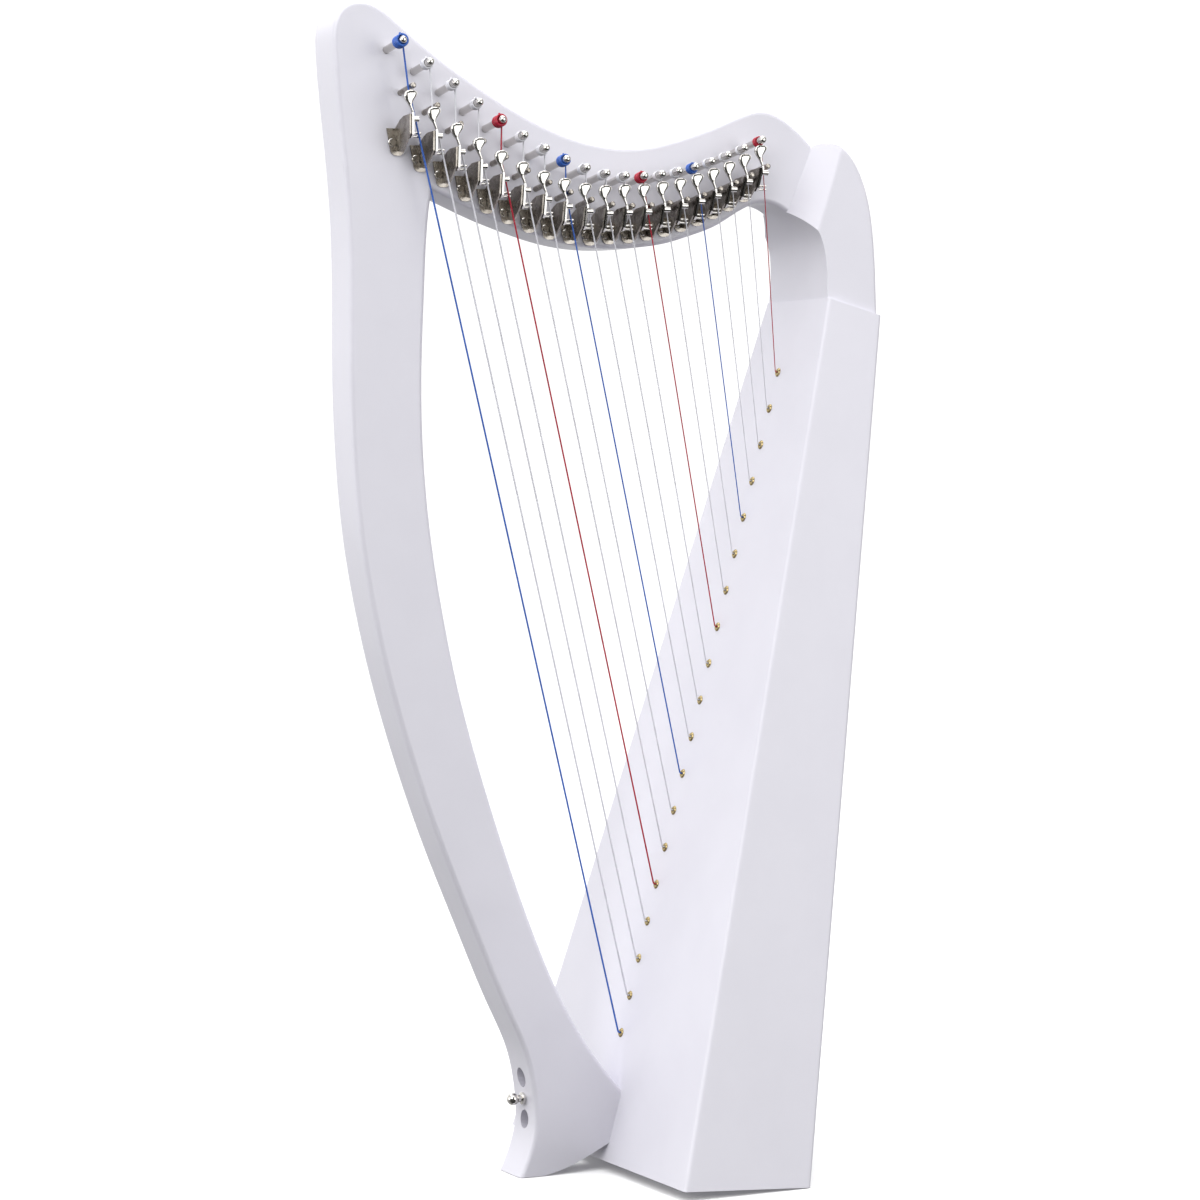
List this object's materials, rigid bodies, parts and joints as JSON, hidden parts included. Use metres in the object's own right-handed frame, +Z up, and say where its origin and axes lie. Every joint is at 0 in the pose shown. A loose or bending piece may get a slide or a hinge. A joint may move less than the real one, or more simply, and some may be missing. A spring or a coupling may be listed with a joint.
{
  "type": "lever harp",
  "caption": "Small lap harp: curved pillar and neck, tapered soundbox, nylon strings with turning tuning pins and a sharping lever on every string.",
  "frame": {"origin": "middle of the outline's footprint, on the floor plane the foot and the soundbox's back edge stand on", "axes": "+Z up; +X from the pillar towards the soundbox; strings, levers and tuning pins stand on the -Y face of the neck"},
  "size_m": [0.4128, 0.2788, 0.8115],
  "materials": {
    "paint": "satin white paint over wood",
    "bare_wood": "bare, sanded",
    "chrome": "polished",
    "steel": "nickel plated",
    "brass": "polished",
    "red_nylon": "smooth",
    "blue_nylon": "smooth",
    "clear_nylon": "smooth, slightly clear"
  },
  "bodies": {
    "harp": {"pillar": "paint", "neck": "paint", "shoulder_block": "paint", "soundboard": "paint", "side_panel_near": "paint", "side_panel_far": "paint", "back_panel": "paint", "base_board": "paint", "top_block": "bare_wood", "foot_block": "bare_wood", "string_rib": "bare_wood", "cross_braces": "bare_wood", "eyelets": "brass", "string_knots": "clear_nylon", "strings_red": "red_nylon", "strings_blue": "blue_nylon", "strings_clear": "clear_nylon", "bridge_pins": "steel", "lever_brackets": "steel", "lever_screws": "steel", "strap_button": "chrome", "pillar_bolts": "steel"},
    "pin_01": {"tuning_pin_01": "chrome"},
    "sharping_lever_01": {"lever_01": "chrome"},
    "pin_02": {"tuning_pin_02": "chrome"},
    "sharping_lever_02": {"lever_02": "chrome"},
    "pin_03": {"tuning_pin_03": "chrome"},
    "sharping_lever_03": {"lever_03": "chrome"},
    "pin_04": {"tuning_pin_04": "chrome"},
    "sharping_lever_04": {"lever_04": "chrome"},
    "pin_05": {"tuning_pin_05": "chrome"},
    "sharping_lever_05": {"lever_05": "chrome"},
    "pin_06": {"tuning_pin_06": "chrome"},
    "sharping_lever_06": {"lever_06": "chrome"},
    "pin_07": {"tuning_pin_07": "chrome"},
    "sharping_lever_07": {"lever_07": "chrome"},
    "pin_08": {"tuning_pin_08": "chrome"},
    "sharping_lever_08": {"lever_08": "chrome"},
    "pin_09": {"tuning_pin_09": "chrome"},
    "sharping_lever_09": {"lever_09": "chrome"},
    "pin_10": {"tuning_pin_10": "chrome"},
    "sharping_lever_10": {"lever_10": "chrome"},
    "pin_11": {"tuning_pin_11": "chrome"},
    "sharping_lever_11": {"lever_11": "chrome"},
    "pin_12": {"tuning_pin_12": "chrome"},
    "sharping_lever_12": {"lever_12": "chrome"},
    "pin_13": {"tuning_pin_13": "chrome"},
    "sharping_lever_13": {"lever_13": "chrome"},
    "pin_14": {"tuning_pin_14": "chrome"},
    "sharping_lever_14": {"lever_14": "chrome"},
    "pin_15": {"tuning_pin_15": "chrome"},
    "sharping_lever_15": {"lever_15": "chrome"},
    "pin_16": {"tuning_pin_16": "chrome"},
    "sharping_lever_16": {"lever_16": "chrome"},
    "pin_17": {"tuning_pin_17": "chrome"},
    "sharping_lever_17": {"lever_17": "chrome"},
    "pin_18": {"tuning_pin_18": "chrome"},
    "sharping_lever_18": {"lever_18": "chrome"},
    "pin_19": {"tuning_pin_19": "chrome"},
    "sharping_lever_19": {"lever_19": "chrome"}
  },
  "joints": [
    {"name": "pin_turn_01", "type": "hinge", "parent": "harp", "child": "pin_01", "pos_m": [-0.16771, -0.01775, 0.77928], "axis": [0, -0.9903, 0.1392], "continuous": true},
    {"name": "pin_turn_02", "type": "hinge", "parent": "harp", "child": "pin_02", "pos_m": [-0.14777, -0.01775, 0.76551], "axis": [0, -0.9903, 0.1392], "continuous": true},
    {"name": "pin_turn_03", "type": "hinge", "parent": "harp", "child": "pin_03", "pos_m": [-0.12911, -0.01775, 0.7523], "axis": [0, -0.9903, 0.1392], "continuous": true},
    {"name": "pin_turn_04", "type": "hinge", "parent": "harp", "child": "pin_04", "pos_m": [-0.11135, -0.01775, 0.74005], "axis": [0, -0.9903, 0.1392], "continuous": true},
    {"name": "pin_turn_05", "type": "hinge", "parent": "harp", "child": "pin_05", "pos_m": [-0.09424, -0.01775, 0.72901], "axis": [0, -0.9903, 0.1392], "continuous": true},
    {"name": "pin_turn_06", "type": "hinge", "parent": "harp", "child": "pin_06", "pos_m": [-0.07763, -0.01775, 0.7193], "axis": [0, -0.9903, 0.1392], "continuous": true},
    {"name": "pin_turn_07", "type": "hinge", "parent": "harp", "child": "pin_07", "pos_m": [-0.06148, -0.01775, 0.71095], "axis": [0, -0.9903, 0.1392], "continuous": true},
    {"name": "pin_turn_08", "type": "hinge", "parent": "harp", "child": "pin_08", "pos_m": [-0.04571, -0.01775, 0.70401], "axis": [0, -0.9903, 0.1392], "continuous": true},
    {"name": "pin_turn_09", "type": "hinge", "parent": "harp", "child": "pin_09", "pos_m": [-0.03021, -0.01775, 0.69878], "axis": [0, -0.9903, 0.1392], "continuous": true},
    {"name": "pin_turn_10", "type": "hinge", "parent": "harp", "child": "pin_10", "pos_m": [-0.01497, -0.01775, 0.69552], "axis": [0, -0.9903, 0.1392], "continuous": true},
    {"name": "pin_turn_11", "type": "hinge", "parent": "harp", "child": "pin_11", "pos_m": [-0.0001, -0.01775, 0.69429], "axis": [0, -0.9903, 0.1392], "continuous": true},
    {"name": "pin_turn_12", "type": "hinge", "parent": "harp", "child": "pin_12", "pos_m": [0.01428, -0.01775, 0.69469], "axis": [0, -0.9903, 0.1392], "continuous": true},
    {"name": "pin_turn_13", "type": "hinge", "parent": "harp", "child": "pin_13", "pos_m": [0.02813, -0.01775, 0.69634], "axis": [0, -0.9903, 0.1392], "continuous": true},
    {"name": "pin_turn_14", "type": "hinge", "parent": "harp", "child": "pin_14", "pos_m": [0.04152, -0.01775, 0.69899], "axis": [0, -0.9903, 0.1392], "continuous": true},
    {"name": "pin_turn_15", "type": "hinge", "parent": "harp", "child": "pin_15", "pos_m": [0.05457, -0.01775, 0.70247], "axis": [0, -0.9903, 0.1392], "continuous": true},
    {"name": "pin_turn_16", "type": "hinge", "parent": "harp", "child": "pin_16", "pos_m": [0.06745, -0.01775, 0.70666], "axis": [0, -0.9903, 0.1392], "continuous": true},
    {"name": "pin_turn_17", "type": "hinge", "parent": "harp", "child": "pin_17", "pos_m": [0.08037, -0.01775, 0.7115], "axis": [0, -0.9903, 0.1392], "continuous": true},
    {"name": "pin_turn_18", "type": "hinge", "parent": "harp", "child": "pin_18", "pos_m": [0.09363, -0.01775, 0.71699], "axis": [0, -0.9903, 0.1392], "continuous": true},
    {"name": "pin_turn_19", "type": "hinge", "parent": "harp", "child": "pin_19", "pos_m": [0.10779, -0.01775, 0.72328], "axis": [0, -0.9903, 0.1392], "continuous": true},
    {"name": "lever_swing_01", "type": "hinge", "parent": "harp", "child": "sharping_lever_01", "pos_m": [-0.15929, -0.02798, 0.72812], "axis": [1, 0, 0], "range_deg": [0, 55]},
    {"name": "lever_swing_02", "type": "hinge", "parent": "harp", "child": "sharping_lever_02", "pos_m": [-0.14194, -0.02799, 0.71744], "axis": [1, 0, 0], "range_deg": [0, 55]},
    {"name": "lever_swing_03", "type": "hinge", "parent": "harp", "child": "sharping_lever_03", "pos_m": [-0.12508, -0.028, 0.70739], "axis": [1, 0, 0], "range_deg": [0, 55]},
    {"name": "lever_swing_04", "type": "hinge", "parent": "harp", "child": "sharping_lever_04", "pos_m": [-0.10852, -0.02801, 0.69821], "axis": [1, 0, 0], "range_deg": [0, 55]},
    {"name": "lever_swing_05", "type": "hinge", "parent": "harp", "child": "sharping_lever_05", "pos_m": [-0.09218, -0.02803, 0.6901], "axis": [1, 0, 0], "range_deg": [0, 55]},
    {"name": "lever_swing_06", "type": "hinge", "parent": "harp", "child": "sharping_lever_06", "pos_m": [-0.07601, -0.02805, 0.68315], "axis": [1, 0, 0], "range_deg": [0, 55]},
    {"name": "lever_swing_07", "type": "hinge", "parent": "harp", "child": "sharping_lever_07", "pos_m": [-0.06, -0.02808, 0.67743], "axis": [1, 0, 0], "range_deg": [0, 55]},
    {"name": "lever_swing_08", "type": "hinge", "parent": "harp", "child": "sharping_lever_08", "pos_m": [-0.04418, -0.02812, 0.67302], "axis": [1, 0, 0], "range_deg": [0, 55]},
    {"name": "lever_swing_09", "type": "hinge", "parent": "harp", "child": "sharping_lever_09", "pos_m": [-0.0285, -0.02816, 0.6702], "axis": [1, 0, 0], "range_deg": [0, 55]},
    {"name": "lever_swing_10", "type": "hinge", "parent": "harp", "child": "sharping_lever_10", "pos_m": [-0.01302, -0.02823, 0.66929], "axis": [1, 0, 0], "range_deg": [0, 55]},
    {"name": "lever_swing_11", "type": "hinge", "parent": "harp", "child": "sharping_lever_11", "pos_m": [0.0021, -0.02831, 0.6704], "axis": [1, 0, 0], "range_deg": [0, 55]},
    {"name": "lever_swing_12", "type": "hinge", "parent": "harp", "child": "sharping_lever_12", "pos_m": [0.01718, -0.02817, 0.6713], "axis": [1, 0, 0], "range_deg": [0, 55]},
    {"name": "lever_swing_13", "type": "hinge", "parent": "harp", "child": "sharping_lever_13", "pos_m": [0.03168, -0.02801, 0.67334], "axis": [1, 0, 0], "range_deg": [0, 55]},
    {"name": "lever_swing_14", "type": "hinge", "parent": "harp", "child": "sharping_lever_14", "pos_m": [0.04562, -0.02782, 0.67621], "axis": [1, 0, 0], "range_deg": [0, 55]},
    {"name": "lever_swing_15", "type": "hinge", "parent": "harp", "child": "sharping_lever_15", "pos_m": [0.05905, -0.02759, 0.67983], "axis": [1, 0, 0], "range_deg": [0, 55]},
    {"name": "lever_swing_16", "type": "hinge", "parent": "harp", "child": "sharping_lever_16", "pos_m": [0.07202, -0.02732, 0.68416], "axis": [1, 0, 0], "range_deg": [0, 55]},
    {"name": "lever_swing_17", "type": "hinge", "parent": "harp", "child": "sharping_lever_17", "pos_m": [0.08463, -0.027, 0.68919], "axis": [1, 0, 0], "range_deg": [0, 55]},
    {"name": "lever_swing_18", "type": "hinge", "parent": "harp", "child": "sharping_lever_18", "pos_m": [0.09703, -0.0266, 0.69494], "axis": [1, 0, 0], "range_deg": [0, 55]},
    {"name": "lever_swing_19", "type": "hinge", "parent": "harp", "child": "sharping_lever_19", "pos_m": [0.1097, -0.0261, 0.70167], "axis": [1, 0, 0], "range_deg": [0, 55]}
  ]
}
